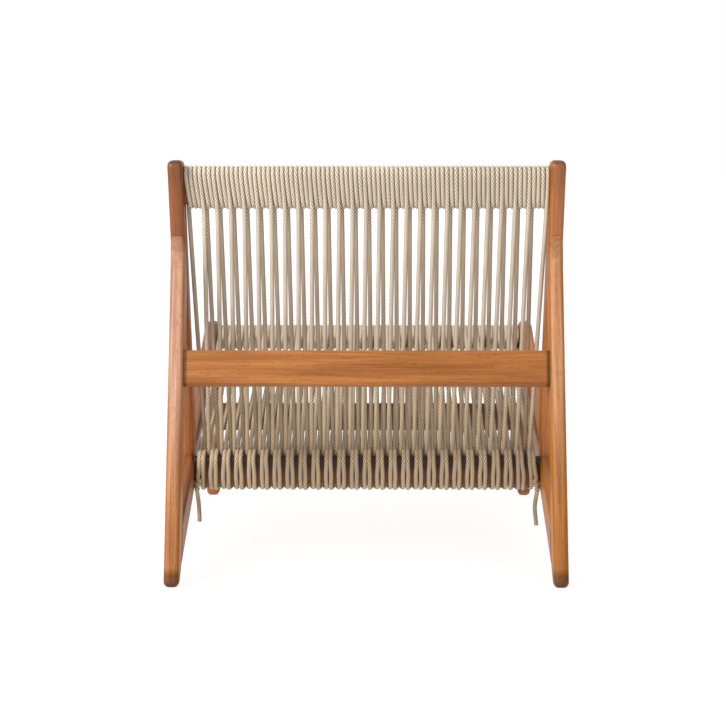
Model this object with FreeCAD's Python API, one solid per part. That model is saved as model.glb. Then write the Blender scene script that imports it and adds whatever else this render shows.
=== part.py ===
import FreeCAD, Part
import math
import os

# Outdoor lounge chair: two plank side frames, five cross rails and one long rope.
# Millimetres. +Z up, +Y towards the front of the seat, -X the sitter's left.
# The origin is on the floor, under the middle of the chair.

# Driving dimensions of the frame
overall_width = 630.0
overall_depth = 850.0
overall_height = 659.0
plank_thickness = 24.0
leg_width = 50.0
post_width = 50.0
side_rail_width = 57.0
front_leg_width = 50.0
front_leg_height = 338.0
leg_joint_height = 519.0
sole_length = 26.0
leg_lean_angle = 18.2
back_lean_angle = 18.7
seat_slope_angle = 19.0

# Rounding of the planks
plank_edge_radius = 8.5
plank_corner_radius = 11.0
heel_radius = 9.0
notch_length = 40.0
notch_end_share = 0.7
notch_tip_cut = 7.0

# Cross rails
wound_rail_thickness = 20.0
top_rail_height = 57.0
top_rail_drop = 43.0
top_rail_inset = 27.0
lower_rail_rise = 29.0
lower_rail_height = 55.0
front_rail_height = 53.0
front_rail_setback = 38.0
front_rail_drop = 28.5
mid_rail_height = 56.5
mid_rail_thickness = 22.0
mid_rail_level = 334.5
mid_rail_recess = 6.0
stretcher_height = 52.0
stretcher_thickness = 20.0
stretcher_level = 152.0
rail_edge_radius = 4.0

# Rope
rope_diameter = 6.5
rope_clearance = 0.3
back_loop_count = 26
seat_loop_count = 27
turns_per_loop = 3
end_loop_turns = 4
run_lean_share = 0.5
loop_pair_spacing = 8.6
loop_pair_top_spacing = 7.0
loop_end_margin = 9.8
strand_layer_step = 7.2
strand_layer_drop = 6.0
outer_bend_radius = 17.0
gentle_bend_radius = 60.0
strand_cut_rise = 45.0
seat_cut_reach = 34.0
bend_share = 0.98
half_share = 0.5

# Knots at the two ends of the rope, and the tails that hang from them
knot_radius = 5.2
knot_length = 14.0
knot_edge_radius = 1.8
knot_level = 18.0
tail_run_share = 0.45
left_tail_route = [(0, 0, 0), (-0.3, 4.5, -15.3), (0.8, 7.4, -30.5), (1.9, 8.2, -45.0), (3.6, 7.8, -58.0)]
right_tail_route = [(0, 0, 0), (0.3, 4.5, -15.3), (-2.2, 7.4, -32.0), (-2.6, 8.2, -48.0), (-0.6, 7.8, -63.7)]

# Dowels
dowel_diameter = 8.0
dowel_length = 36.0
dowel_spacing = 26.0
dowel_clearance = 0.1

# Sizes that follow from the driving dimensions
inner_half = overall_width / 2 - plank_thickness
half_depth = overall_depth / 2
leg_lean = math.radians(leg_lean_angle)
heel_setback = heel_radius * ((1 + math.sin(leg_lean)) / math.cos(leg_lean) - 1)
rope_radius = rope_diameter / 2
rope_seat = wound_rail_thickness / 2 + rope_radius + rope_clearance
top_rope_end = top_rail_height / 2 + rope_radius + rope_clearance
front_rope_end = front_rail_height / 2 + rope_radius + rope_clearance
lower_rope_end = lower_rail_height / 2 + rope_radius + rope_clearance
rope_bend = rope_seat * bend_share
rope_side = rope_radius + rope_clearance


def side(y, z):
    """A point of the side view, measured forward from the rear foot and up."""
    return FreeCAD.Vector(0, y - half_depth, z)


def slope(angle):
    """Unit direction in the side view at an angle above the forward axis."""
    return FreeCAD.Vector(0, math.cos(math.radians(angle)), math.sin(math.radians(angle)))


def crossing(point, way, other_point, other_way):
    """Where two lines of the side view meet."""
    across = way.y * other_way.z - way.z * other_way.y
    gap = other_point - point
    reach = (gap.y * other_way.z - gap.z * other_way.y) / across
    return point + way * reach


def at_x(point, x):
    return FreeCAD.Vector(x, point.y, point.z)


# Lines of the side view: a point on each and the way it runs
leg_way = slope(90 - leg_lean_angle)
leg_forward = slope(-leg_lean_angle)
post_way = slope(90 + back_lean_angle)
post_forward = slope(back_lean_angle)
seat_way = slope(seat_slope_angle)
seat_up = slope(90 + seat_slope_angle)
level_way = slope(0)
upright_way = slope(90)

leg_rear = side(-heel_setback, 0)
leg_front = leg_rear + leg_forward * leg_width
notch_point = crossing(leg_rear, leg_way, side(0, leg_joint_height), level_way)
post_rear = notch_point
post_front = post_rear + post_forward * post_width
front_leg_rear = side(overall_depth - front_leg_width, 0)
rail_top = at_x(front_leg_rear, 0) + upright_way * (front_leg_height - rope_clearance)
rail_bottom = rail_top - seat_up * side_rail_width

# Corners that the planks share
foot_front = crossing(leg_front, leg_way, rail_bottom, seat_way)
leg_rail_top = crossing(leg_front, leg_way, rail_top, seat_way)
crotch = crossing(leg_front, leg_way, post_rear, post_way)
post_rail_rear = crossing(post_rear, post_way, rail_top, seat_way)
post_rail_front = crossing(post_front, post_way, rail_top, seat_way)
post_top_rear = crossing(post_rear, post_way, side(0, overall_height), level_way)
post_top_front = crossing(post_front, post_way, side(0, overall_height), level_way)
rail_front_bottom = crossing(front_leg_rear, upright_way, rail_bottom, seat_way)


def line(start, end):
    return Part.LineSegment(start, end).toShape()


def rounded_corner(before, corner, after, radius):
    """Start, middle and end of the arc that rounds one corner."""
    way_in = (corner - before).normalize()
    way_out = (after - corner).normalize()
    half_turn = way_in.getAngle(way_out) / 2
    reach = radius * math.tan(half_turn)
    inward = (way_out - way_in).normalize()
    sagitta = radius / math.cos(half_turn) - radius
    return corner - way_in * reach, corner + inward * sagitta, corner + way_out * reach


def rounded_path(points, radii, closed):
    """Straight runs joined by tangent arcs; a radius of zero keeps its corner sharp."""
    count = len(points)
    edges = []
    stops = []
    for index, point in enumerate(points):
        is_end = not closed and index in (0, count - 1)
        if is_end or radii[index] == 0:
            stops.append((point, None, point))
        else:
            after = points[(index + 1) % count]
            stops.append(rounded_corner(points[index - 1], point, after, radii[index]))
    for index, (start, middle, end) in enumerate(stops):
        if middle is not None:
            edges.append(Part.Arc(start, middle, end).toShape())
        if index < count - 1 or closed:
            following = stops[(index + 1) % count][0]
            if end.distanceToPoint(following) > rope_clearance / 100:
                edges.append(line(end, following))
    return Part.Wire(edges)


def plank(wire, joint_lines):
    """A side plank on the left, with every edge rounded but those on the joint lines."""
    face = Part.Face(wire)
    face.translate(FreeCAD.Vector(-overall_width / 2, 0, 0))
    solid = face.extrude(FreeCAD.Vector(plank_thickness, 0, 0))
    edges = []
    for edge in solid.Edges:
        middle = edge.valueAt((edge.FirstParameter + edge.LastParameter) / 2)
        across = abs(edge.BoundBox.XLength - plank_thickness) < rope_clearance
        flat = at_x(middle, 0)
        on_joint = any(flat.distanceToLine(point, way) < rope_clearance for point, way in joint_lines)
        if not across and not on_joint:
            edges.append(edge)
    return solid.makeFillet(plank_edge_radius, edges)


def rear_leg():
    """The leg, rounded past its joint with the back post and then cut along the joint."""
    notch_low = notch_point - leg_way * notch_length
    notch_high = notch_point + post_way * notch_length * notch_end_share
    chord = notch_high - notch_low
    outward = leg_forward * -1
    radius = chord.Length ** 2 / (2 * chord.dot(outward))
    center = notch_low + outward * radius
    toward = ((notch_low - center) + (notch_high - center)).normalize()
    notch_arc = Part.Arc(notch_low, center + toward * radius, notch_high).toShape()
    notch_turn = math.degrees(2 * chord.getAngle(leg_way))
    end_way = FreeCAD.Rotation(FreeCAD.Vector(1, 0, 0), notch_turn).multVec(leg_way)
    notch_far = notch_high + end_way * notch_length
    crotch_far = crotch + leg_way * notch_length
    sole_front = leg_rear + level_way * sole_length
    outline = [notch_high, notch_far, crotch_far, leg_rail_top, foot_front, sole_front, leg_rear, notch_low]
    radii = [0, 0, 0, 0, 0, heel_radius, heel_radius, 0]
    open_edges = rounded_path(outline, radii, False).Edges
    leg = plank(Part.Wire(open_edges + [notch_arc]), [(notch_far, crotch_far - notch_far)])
    tip = notch_high - post_way * notch_tip_cut
    return leg.cut([beyond(notch_point, post_way, post_forward), beyond(tip, post_forward, post_way)])


def beyond(point, way, outward):
    """Everything on the outward side of a line of the side view, on the left."""
    reach = way * overall_height
    out = outward * overall_height
    corners = [point - reach, point + reach, point + reach + out, point - reach + out]
    face = Part.Face(Part.makePolygon(corners + corners[:1]))
    return face.extrude(FreeCAD.Vector(-overall_width, 0, 0))


def back_post():
    outline = [post_rail_rear, post_top_rear, post_top_front, post_rail_front]
    radii = [0, plank_corner_radius, plank_corner_radius, 0]
    return plank(rounded_path(outline, radii, True), [(rail_top, seat_way)])


def seat_side_rail():
    outline = [foot_front, leg_rail_top, rail_top, rail_front_bottom]
    joints = [(leg_front, leg_way), (front_leg_rear, upright_way)]
    return plank(rounded_path(outline, [0] * len(outline), True), joints)


def front_leg():
    foot_far = front_leg_rear + level_way * front_leg_width
    up = upright_way * front_leg_height
    outline = [front_leg_rear, front_leg_rear + up, foot_far + up, foot_far]
    radii = [heel_radius, rope_radius, plank_corner_radius, heel_radius]
    return plank(rounded_path(outline, radii, True), [])


def board(center, along, normal, height, thickness, edge_radius):
    """A cross rail between the side frames, with its long edges rounded."""
    rise = along * (height / 2)
    out = normal * (thickness / 2)
    outline = [center - rise - out, center + rise - out, center + rise + out, center - rise + out]
    wire = rounded_path([at_x(point, -inner_half) for point in outline], [edge_radius] * len(outline), True)
    return Part.Face(wire).extrude(FreeCAD.Vector(2 * inner_half, 0, 0))


# Section frames of the cross rails: centre, long way of the board and its front or upper normal
back_line = post_rear + post_forward * top_rail_inset
top_center = crossing(back_line, post_way, side(0, overall_height - top_rail_drop), level_way)
strand_line = top_center - post_forward * rope_seat
lower_line = strand_line - post_forward * rope_seat
rail_middle = rail_bottom + seat_up * lower_rail_rise
lower_center = crossing(lower_line, post_way, rail_middle, seat_way)
front_center = side(overall_depth - front_rail_setback, front_leg_height - front_rail_drop)
mid_foot = crossing(leg_rear, leg_way, side(0, mid_rail_level), level_way)
mid_center = mid_foot + leg_forward * (mid_rail_recess + mid_rail_thickness / 2)
stretcher_center = side(overall_depth - front_leg_width / 2, stretcher_level)
wound_edge = wound_rail_thickness / 2 * bend_share


def rope_tube(points, radii):
    """One unbroken length of rope swept along straight runs and arcs."""
    path = rounded_path(points, radii, False)
    start = points[0]
    section = Part.Wire(Part.Circle(start, points[1] - start, rope_radius).toShape())
    tube = path.makePipeShell([section], True, False)
    return tube, path


def on_rail(center, along, normal, out, up, x):
    return at_x(center + normal * out + along * up, x)


def gap_place(index):
    """Middle of the gap between two loop pairs of the lower rail."""
    return -inner_half + loop_end_margin + loop_pitch * (index + half_share)


def pair_place(index):
    return -inner_half + loop_end_margin + loop_pitch * index


loop_pitch = 2 * (inner_half - loop_end_margin) / (seat_loop_count - 1)
wound_span = 2 * (inner_half - rope_side)
extra_turns = end_loop_turns - turns_per_loop
top_turn = wound_span / (back_loop_count * turns_per_loop + 2 * extra_turns - 1 + run_lean_share)
front_turn = wound_span / (seat_loop_count * turns_per_loop - 1 + run_lean_share)


def lower_point(out, up, x):
    return on_rail(lower_center, post_way, post_forward, out, up, x)


def top_point(out, up, x):
    return on_rail(top_center, post_way, post_forward, out, up, x)


def front_point(up, forward, x):
    return on_rail(front_center, seat_way, seat_up, up, forward, x)


def top_turns(index):
    """The first and the last loop go round the top rail once more than the others."""
    return end_loop_turns if index in (0, back_loop_count - 1) else turns_per_loop


def top_start(index):
    turns_before = turns_per_loop * index + (extra_turns if index > 0 else 0)
    return -inner_half + rope_side + top_turn * turns_before


def rising_top(index):
    return top_point(rope_seat, -top_rope_end, top_start(index))


def falling_top(index):
    turns = top_turns(index) - 1 + run_lean_share
    return top_point(-rope_seat, -top_rope_end, top_start(index) + top_turn * turns)


def leading_corner(index, out, drop, far_end):
    """Lower corner of a strand that passes the middle of its gap at the seat's level."""
    level = lower_point(out, lower_rope_end, gap_place(index))
    fall = 2 * lower_rope_end + drop
    lead = (level.x - far_end.x) * fall / (far_end - level).dot(post_way)
    return lower_point(out, lower_rope_end - fall, level.x + lead)


def inner_corner(index):
    """Where a strand on the rail's own front face turns under the lower rail."""
    return leading_corner(index, rope_seat, 0, falling_top(index))


def outer_corner(index):
    """Where a strand lying on the inner one turns under the lower rail."""
    return leading_corner(index, rope_seat + strand_layer_step, strand_layer_drop, rising_top(index))


def cut_point(corner, far_end):
    """Where a back strand meets its loop, just above the lower rail."""
    return corner + (far_end - corner).normalize() * strand_cut_rise


def back_loop(index):
    """Up the front of the back, over the top rail turn by turn and down its rear."""
    points = [cut_point(outer_corner(index), rising_top(index)), rising_top(index)]
    radii = [0, gentle_bend_radius]
    x = top_start(index)
    for turn in range(top_turns(index)):
        if turn > 0:
            points.append(top_point(-rope_seat, -top_rope_end, x + top_turn * run_lean_share))
            x += top_turn
            points.append(top_point(rope_seat, -top_rope_end, x))
            radii += [rope_bend, rope_bend]
        points.append(top_point(rope_seat, top_rope_end, x))
        points.append(top_point(-rope_seat, top_rope_end, x))
        radii += [rope_bend, rope_bend]
    points += [falling_top(index), cut_point(inner_corner(index), falling_top(index))]
    return rope_tube(points, radii + [gentle_bend_radius, 0])


def rope_start():
    """Upper face of the left knot, on the rear of the lower rail."""
    out = wound_rail_thickness / 2 + knot_radius + rope_clearance
    return lower_point(-out, -knot_level, pair_place(0) - loop_pair_spacing / 2)


def rope_finish():
    start = rope_start()
    return at_x(start, -start.x)


def knot_and_tail(end, pair_side, route):
    """The stopper knot under one end of the rope, and the free tail below it."""
    outer_top = inner_half - loop_end_margin + loop_pair_top_spacing / 2
    top = lower_point(-rope_seat, lower_rope_end, pair_side * outer_top)
    way = (end - top).normalize()
    barrel = Part.makeCylinder(knot_radius, knot_length, end, way)
    rims = [edge for edge in barrel.Edges if edge.Closed]
    knot = barrel.makeFillet(knot_edge_radius, rims)
    low_end = end + way * knot_length
    points = [low_end + FreeCAD.Vector(*step) for step in route]
    radii = [0]
    for before, corner, after in zip(points, points[1:], points[2:]):
        shorter = min(before.distanceToPoint(corner), corner.distanceToPoint(after))
        turn = (corner - before).getAngle(after - corner)
        radii.append(tail_run_share * shorter / math.tan(turn / 2))
    tail, path = rope_tube(points, radii + [0])
    print("tail", [tuple(point) for point in points], "length", path.Length, "radii", radii[1:])
    return knot, tail


def front_start(index):
    return -inner_half + rope_side + front_turn * turns_per_loop * index


def entering_ends(index):
    """Where a seat loop leaves the lower rail's crest, and where it reaches the front rail."""
    crest = lower_point(-rope_seat, lower_rope_end, pair_place(index) - loop_pair_top_spacing / 2)
    return crest, front_point(rope_seat, -front_rope_end, front_start(index))


def leaving_ends(index):
    """Where a seat loop comes back to the lower rail's crest, and where it left the front rail."""
    crest = lower_point(-rope_seat, lower_rope_end, pair_place(index) + loop_pair_top_spacing / 2)
    x = front_start(index) + front_turn * (turns_per_loop - 1 + run_lean_share)
    return crest, front_point(-rope_seat, -front_rope_end, x)


def seat_cut(crest, far_end):
    """Where a seat strand meets its wrap on the lower rail."""
    return crest + (far_end - crest).normalize() * seat_cut_reach


def entering_wrap(index):
    """From a front strand of the back, or from the left knot, round the lower rail to the seat."""
    crest, far_end = entering_ends(index)
    ends = [crest, seat_cut(crest, far_end)]
    if index == 0:
        return rope_tube([rope_start()] + ends, [0, rope_bend, 0])
    corner = outer_corner(index - 1)
    rear = lower_point(-rope_seat, -lower_rope_end, pair_place(index) - loop_pair_spacing / 2)
    points = [cut_point(corner, rising_top(index - 1)), corner, rear] + ends
    return rope_tube(points, [0, outer_bend_radius, rope_bend, rope_bend, 0])


def leaving_wrap(index):
    """From the seat round the lower rail to a rear strand of the back, or to the right knot."""
    crest, far_end = leaving_ends(index)
    ends = [seat_cut(crest, far_end), crest]
    if index == seat_loop_count - 1:
        return rope_tube(ends + [rope_finish()], [0, rope_bend, 0])
    corner = inner_corner(index)
    rear = lower_point(-rope_seat, -lower_rope_end, pair_place(index) + loop_pair_spacing / 2)
    points = ends + [rear, corner, cut_point(corner, falling_top(index))]
    return rope_tube(points, [0, rope_bend, rope_bend, rope_bend, 0])


def seat_loop(index):
    """Along the seat, three times round the front rail and back again."""
    points = [seat_cut(*entering_ends(index))]
    radii = [0]
    x = front_start(index)
    for turn in range(turns_per_loop):
        points.append(front_point(rope_seat, -front_rope_end, x))
        points.append(front_point(rope_seat, front_rope_end, x))
        points.append(front_point(-rope_seat, front_rope_end, x))
        points.append(front_point(-rope_seat, -front_rope_end, x + front_turn * run_lean_share))
        radii += [gentle_bend_radius if turn == 0 else rope_bend, rope_bend, rope_bend, rope_bend]
        x += front_turn
    radii[-1] = gentle_bend_radius
    points.append(seat_cut(*leaving_ends(index)))
    return rope_tube(points, radii + [0])


def least_gap(path, other):
    """Least distance between the surfaces of two ropes, measured on points."""
    step = rope_radius / 2
    own = path.discretize(Distance=step)
    far = own if other is None else other.discretize(Distance=step)
    skip = int(math.pi * rope_bend / step)
    least = overall_depth
    for index, point in enumerate(own):
        first = index + skip if other is None else 0
        for place in range(first, len(far)):
            gap = abs(point.x - far[place].x)
            if gap < least:
                least = min(least, point.distanceToPoint(far[place]))
    return least - rope_diameter


def dowel(center, way, gap):
    reach = dowel_length / 2 + gap
    radius = dowel_diameter / 2 + gap
    return Part.makeCylinder(radius, 2 * reach, center - way * reach, way)


def mirrored(shape):
    return shape.mirror(FreeCAD.Vector(0, 0, 0), FreeCAD.Vector(1, 0, 0))


def joint_places():
    """Every dowel joint on the left: name, middle, way of the dowels, way of their row."""
    plank_middle = -overall_width / 2 + plank_thickness / 2
    inner = -inner_half
    leg_end = at_x((crotch + notch_point) * half_share, plank_middle)
    leg_foot = at_x((foot_front + leg_rail_top) * half_share, plank_middle)
    post_foot = at_x((post_rail_rear + post_rail_front) * half_share, plank_middle)
    front_end = at_x((rail_top + rail_front_bottom) * half_share, plank_middle)
    sideways = FreeCAD.Vector(1, 0, 0)
    return [
        ("leg_post_dowels", leg_end, post_forward, post_way),
        ("leg_rail_dowels", leg_foot, leg_forward, leg_way),
        ("post_rail_dowels", post_foot, post_way, seat_way),
        ("front_leg_dowels", front_end, level_way, upright_way),
        ("top_rail_dowels", at_x(top_center, inner), sideways, post_way),
        ("mid_rail_dowels", at_x(mid_center, inner), sideways, leg_way),
        ("lower_rail_dowels", at_x(lower_center, inner), sideways, post_way),
        ("front_rail_dowels", at_x(front_center, inner), sideways, seat_way),
        ("stretcher_dowels", at_x(stretcher_center, inner), sideways, upright_way),
    ]


def save(name, shapes):
    shape = shapes[0] if len(shapes) == 1 else Part.makeCompound(shapes)
    shape.exportStep("parts/" + name + ".step")
    print(name, len(shape.Solids), "solids", round(shape.Volume), "mm3", shape.isValid())


def main():
    os.makedirs("parts", exist_ok=True)
    planks = {"rear_leg": rear_leg(), "back_post": back_post(),
              "seat_side_rail": seat_side_rail(), "front_leg": front_leg()}
    rails = {
        "top_back_rail": board(top_center, post_way, post_forward, top_rail_height,
                               wound_rail_thickness, wound_edge),
        "mid_back_rail": board(mid_center, leg_way, leg_forward, mid_rail_height,
                               mid_rail_thickness, rail_edge_radius),
        "lower_rail": board(lower_center, post_way, post_forward, lower_rail_height,
                            wound_rail_thickness, wound_edge),
        "front_seat_rail": board(front_center, seat_way, seat_up, front_rail_height,
                                 wound_rail_thickness, wound_edge),
        "front_stretcher": board(stretcher_center, upright_way, level_way, stretcher_height,
                                 stretcher_thickness, rail_edge_radius),
    }
    holes = []
    for name, middle, way, row in joint_places():
        half_row = row * (dowel_spacing / 2)
        left = [dowel(middle + half_row, way, 0), dowel(middle - half_row, way, 0)]
        holes += [dowel(middle + half_row, way, dowel_clearance),
                  dowel(middle - half_row, way, dowel_clearance)]
        save(name, left + [mirrored(pin) for pin in left])
    for name, solid in planks.items():
        drilled = solid.cut(holes).Solids
        save("left_" + name, drilled)
        save("right_" + name, [mirrored(piece) for piece in drilled])
    both_sides = holes + [mirrored(hole) for hole in holes]
    for name, solid in rails.items():
        save(name, solid.cut(both_sides).Solids)

    back = [back_loop(index) for index in range(back_loop_count)]
    seat = [seat_loop(index) for index in range(seat_loop_count)]
    entering = [entering_wrap(index) for index in range(seat_loop_count)]
    leaving = [leaving_wrap(index) for index in range(seat_loop_count)]
    save("back_rope", [tube for tube, path in back])
    save("seat_rope", [tube for tube, path in seat])
    save("lower_rail_loops", [tube for tube, path in entering + leaving])
    for name, end, pair_side, route in (("left", rope_start(), -1, left_tail_route),
                                        ("right", rope_finish(), 1, right_tail_route)):
        knot, tail = knot_and_tail(end, pair_side, route)
        save(name + "_rope_knot", [knot])
        save(name + "_rope_tail", [tail])
    print("least gap, back loop to itself", least_gap(back[1][1], None))
    print("least gap, seat loop to itself", least_gap(seat[1][1], None))
    print("least gap, neighbouring back loops", least_gap(back[1][1], back[2][1]))
    print("least gap, neighbouring seat loops", least_gap(seat[1][1], seat[2][1]))
    print("least gap, wraps of one loop", least_gap(entering[1][1], leaving[1][1]))
    print("least gap, wraps of neighbouring loops", least_gap(leaving[1][1], entering[2][1]))
    print("least gap, wrap to back loop", least_gap(entering[1][1], back[1][1]))
    print("least gap, outer wraps", least_gap(entering[1][1], entering[2][1]))
    tube, path = back[0]
    print("volume against section and length", tube.Volume / (math.pi * rope_radius ** 2 * path.Length))


main()
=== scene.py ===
"""Outdoor lounge chair of satin hardwood, strung with one long braided rope.

The wood pieces are the CAD nodes with a hardwood finish. The rope is made anew, loop by loop, with
the same winding as the CAD part, and its two knots and free tails with it.
"""

import math
import random
from collections import namedtuple

import bpy
from bpy.props import FloatProperty, FloatVectorProperty, PointerProperty
from bpy.types import Operator, Panel, PropertyGroup
from mathutils import Euler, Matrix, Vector


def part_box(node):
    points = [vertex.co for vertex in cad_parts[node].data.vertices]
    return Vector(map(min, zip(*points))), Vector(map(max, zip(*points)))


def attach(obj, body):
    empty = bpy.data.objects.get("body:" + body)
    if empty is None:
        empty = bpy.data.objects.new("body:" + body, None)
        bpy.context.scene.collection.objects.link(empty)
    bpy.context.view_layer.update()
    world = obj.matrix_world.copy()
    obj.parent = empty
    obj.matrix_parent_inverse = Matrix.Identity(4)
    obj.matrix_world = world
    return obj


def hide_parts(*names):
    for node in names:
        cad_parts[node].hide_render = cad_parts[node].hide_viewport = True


bl_info = {
    "name": "Rope Lounge Chair",
    "version": (1, 0, 0),
    "blender": (4, 5, 0),
    "location": "View3D > Sidebar > Chair",
    "description": "Dresses a lounge chair with satin hardwood and braided rope",
    "category": "Object",
}

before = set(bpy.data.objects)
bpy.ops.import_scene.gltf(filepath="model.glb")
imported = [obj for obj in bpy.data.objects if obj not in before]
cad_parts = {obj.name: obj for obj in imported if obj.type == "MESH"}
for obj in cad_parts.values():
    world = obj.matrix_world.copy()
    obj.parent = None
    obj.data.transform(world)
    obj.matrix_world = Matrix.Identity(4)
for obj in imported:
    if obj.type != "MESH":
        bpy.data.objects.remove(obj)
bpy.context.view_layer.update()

# Sizes of the CAD part that the rope follows, in metres and radians
MM = 0.001
LEG_LEAN = math.radians(18.2)
BACK_LEAN = math.radians(18.7)
SEAT_SLOPE = math.radians(19.0)
RAIL_THICKNESS = 20 * MM
TOP_RAIL_HEIGHT = 57 * MM
LOWER_RAIL_HEIGHT = 55 * MM
FRONT_RAIL_HEIGHT = 53 * MM

# Winding of the rope
BACK_LOOPS = 26
SEAT_LOOPS = 27
TURNS_PER_LOOP = 3
END_LOOP_TURNS = 4
LEFT_RUN_LEAN_SHARE = 0.8
RIGHT_RUN_LEAN_SHARE = 0.0
ROPE_CLEARANCE = 0.3 * MM
SLACK_SHARE = 1.06
PAIR_SPACING = 7.6 * MM
PAIR_TOP_SPACING = 6.2 * MM
PAIR_PLAY = 0.4 * MM
LOOP_BOW = 0.9 * MM
LEFT_LEAN, LEFT_LEAN_PAIRS = 2.6 * MM, 3
RIGHT_LEAN, RIGHT_LEAN_PAIRS = 5.0 * MM, 2.5
FRONT_STRAND_SHIFT = -3.4 * MM
REAR_STRAND_SHIFT = 3.2 * MM
LOOP_END_MARGIN = 9.8 * MM
LAYER_STEP = 7.2 * MM
LAYER_DROP = 3 * MM
CUT_RISE = 45 * MM
RUN_END = 40 * MM
PLAY_SEED = 7
OCTAGON_SHARE = math.tan(math.pi / 8)

# Share of a line's shift along a rail that is done at the two middle points of its bend
EVEN_SHIFT = (1 / 3, 2 / 3)
LATE_SHIFT = (0.0, 0.5)
EARLY_SHIFT = (0.5, 1.0)

# Knots and tails at the rope's two ends; a tail's steps are in millimetres from where it leaves its knot
KNOT_RADIUS = 7.2 * MM
KNOT_LENGTH = 21 * MM
KNOT_LEVEL = 4.5 * MM
TAIL_COVER = 1.5 * MM
KNOT_SHIFT = 0.5 * MM
KNOT_ROPE_SHARE = 0.94
KNOT_TURNS = 2.0
KNOT_POINTS_PER_TURN = 12
TAIL_STEPS = {
    "left": [(-2.2, 0, 0), (-0.6, 4.5, -15.3), (0.8, 7.4, -30.5), (1.4, 8.2, -45.0), (1.6, 7.8, -58.0)],
    "right": [(2.2, 0, 0), (0.2, 4.5, -13.8), (-2.2, 7.4, -30.5), (-0.9, 8.2, -47.5), (1.2, 7.8, -63.6)],
}

# Fineness of the rope's mesh
ROPE_SIDES = 12
LINE_STEPS = 5

# Grain of each wood piece: its turn about X or Y that brings the grain upright
LEG_GRAIN = (LEG_LEAN, 0, 0)
POST_GRAIN = (-BACK_LEAN, 0, 0)
SIDE_RAIL_GRAIN = (math.pi / 2 - SEAT_SLOPE, 0, 0)
UPRIGHT_GRAIN = (0, 0, 0)
CROSS_GRAIN = (0, -math.pi / 2, 0)

# Change of a colour by height: where it starts and ends, and its shares of value and richness at the end
Shade = namedtuple("Shade", "start end value richness", defaults=(1.0,))
FOOT_SHADE = Shade(32 * MM, 17 * MM, 0.4, 1.26)
# Painted shade: the rear legs darken from the seat down towards the feet
LEFT_LEG_SHADE = Shade(320 * MM, 60 * MM, 0.76, 1.3)
RIGHT_LEG_SHADE = Shade(320 * MM, 60 * MM, 0.82, 1.16)
# Painted shade in the hollow where each rear leg meets its post, darkest at the leg's top end
NOTCH_SHADE = Shade(508 * MM, 520 * MM, 0.72, 1.06)
NOTCH_EDGE_SHADE = Shade(534 * MM, 542 * MM, 0.58, 1.2)
RIGHT_NOTCH_SHADE = Shade(500 * MM, 535 * MM, 0.84, 1.05)
LEFT_LEG_SHADES = (FOOT_SHADE, LEFT_LEG_SHADE, NOTCH_SHADE, NOTCH_EDGE_SHADE)
RIGHT_LEG_SHADES = (FOOT_SHADE, RIGHT_LEG_SHADE, RIGHT_NOTCH_SHADE)
HEAD_SHADE = Shade(590 * MM, 640 * MM, 0.78)
# Painted shade on the left side rail, darker higher up under the seat
SIDE_RAIL_SHADE = Shade(70 * MM, 110 * MM, 0.7)
# Painted light on the left post's lower part, brighter towards its foot
POST_FOOT_SHADE = Shade(470 * MM, 340 * MM, 1.34, 1.02)
# Painted shade on the lower rail's upper edge, under the rope's loops
UNDER_ROPE_SHADE = Shade(124 * MM, 148 * MM, 0.18)
# Painted shade on the rope, darker and warmer from the mid rail down to the lower rail
LOW_ROPE_PAINTED_SHADE = Shade(430 * MM, 190 * MM, 0.85, 1.36)
# Painted shade on the rope's tails, below the knots
TAIL_SHADE = Shade(98 * MM, 86 * MM, 0.74)

# The same by how far a face looks sideways: painted shade on the rope's flanks and the planks' sides
FLANK_SHADE = Shade(0.55, 0.97, 0.6)
SIDE_SHADE = Shade(0.35, 0.95, 0.9, 1.15)

# The same by distance from the chair's middle: painted shadow that the legs cast on the mid rail's ends
MID_RAIL_PAINTED_SHADOW = Shade(284 * MM, 288 * MM, 0.3, 1.4)

# The same by height, as painted shade on faces under the seat that are turned away from the front
UNDER_SEAT_SHADE = Shade(80 * MM, 230 * MM, 0.84, 0.62)
# Painted shade on the front legs' rear faces above their feet, deeper on the right leg
LEFT_LEG_UNDER_SEAT = (UNDER_SEAT_SHADE, Shade(2 * MM, 10 * MM, 0.8))
RIGHT_LEG_UNDER_SEAT = (UNDER_SEAT_SHADE, Shade(2 * MM, 10 * MM, 0.64))
STRETCHER_UNDER_SEAT = (Shade(50 * MM, 100 * MM, 0.25),)

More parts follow.
